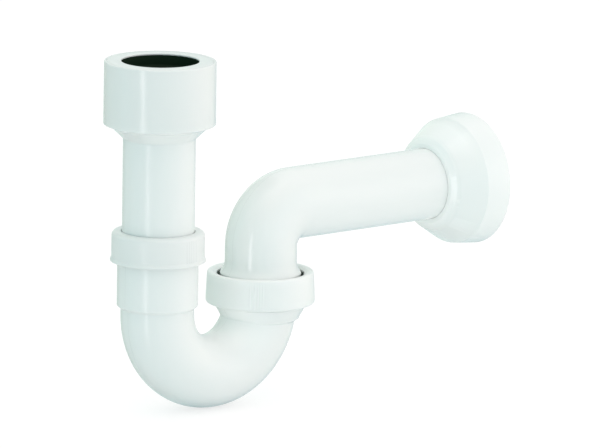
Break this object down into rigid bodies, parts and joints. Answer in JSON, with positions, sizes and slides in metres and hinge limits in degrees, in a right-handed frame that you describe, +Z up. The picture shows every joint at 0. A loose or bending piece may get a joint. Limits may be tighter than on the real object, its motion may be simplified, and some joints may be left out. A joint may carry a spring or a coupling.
{
  "type": "p trap",
  "caption": "White plastic P trap with a push-in rubber inlet socket, a U bend between two threaded unions, a straight outlet pipe and a sliding wall rosette.",
  "frame": {"origin": "below the middle of the trap's length, in its plane of symmetry, level with the lowest point of the U bend", "axes": "+X along the outlet pipe towards the wall, +Z up along the inlet tube, Y across the plane of symmetry"},
  "size_m": [0.2616, 0.0728, 0.1985],
  "materials": {
    "white_polypropylene": "gloss",
    "black_rubber": "satin",
    "natural_polyethylene": "satin"
  },
  "bodies": {
    "outlet": {"outlet_elbow_pipe": "white_polypropylene", "outlet_gasket": "black_rubber"},
    "rosette": {"wall_rosette": "white_polypropylene"},
    "trap": {"trap_bend": "white_polypropylene"},
    "seal_carrier": {"inlet_cone_seal": "black_rubber"},
    "inlet": {"inlet_tube": "white_polypropylene", "inlet_lip_seal": "black_rubber", "seal_retaining_ring": "white_polypropylene"},
    "inlet_nut_lift": {"inlet_slip_washer": "natural_polyethylene"},
    "inlet_nut": {"inlet_compression_nut": "white_polypropylene"},
    "outlet_nut_lift": {"outlet_slip_ring": "natural_polyethylene"},
    "outlet_nut": {"outlet_union_nut": "white_polypropylene"}
  },
  "joints": [
    {"name": "trap_swivel", "type": "hinge", "parent": "outlet", "child": "trap", "pos_m": [-0.0275, 0, 0.06], "axis": [0, 0, 1], "range_deg": [-115, 115]},
    {"name": "inlet_swivel", "type": "hinge", "parent": "trap", "child": "seal_carrier", "pos_m": [-0.1, 0, 0.095], "axis": [0, 0, 1], "continuous": true},
    {"name": "inlet_height", "type": "slide", "parent": "seal_carrier", "child": "inlet", "axis": [0, 0, 1], "range_m": [-0.01, 0.015]},
    {"name": "inlet_nut_turn", "type": "hinge", "parent": "inlet_nut_lift", "child": "inlet_nut", "pos_m": [-0.1, 0, 0.094], "axis": [0, 0, 1], "range_deg": [0, 1080]},
    {"name": "inlet_nut_lift", "type": "slide", "parent": "trap", "child": "inlet_nut_lift", "axis": [0, 0, 1], "range_m": [0, 0.0069]},
    {"name": "outlet_nut_turn", "type": "hinge", "parent": "outlet_nut_lift", "child": "outlet_nut", "pos_m": [-0.0275, 0, 0.063], "axis": [0, 0, 1], "range_deg": [0, 1080]},
    {"name": "outlet_nut_lift", "type": "slide", "parent": "trap", "child": "outlet_nut_lift", "axis": [0, 0, 1], "range_m": [0, 0.0069]},
    {"name": "rosette_slide", "type": "slide", "parent": "outlet", "child": "rosette", "axis": [-1, 0, 0], "range_m": [0, 0.075]}
  ],
  "couplings": [
    {"joint": "inlet_nut_turn", "follows": "inlet_nut_lift", "rad_per_m": 2721.2},
    {"joint": "outlet_nut_turn", "follows": "outlet_nut_lift", "rad_per_m": 2721.2}
  ]
}
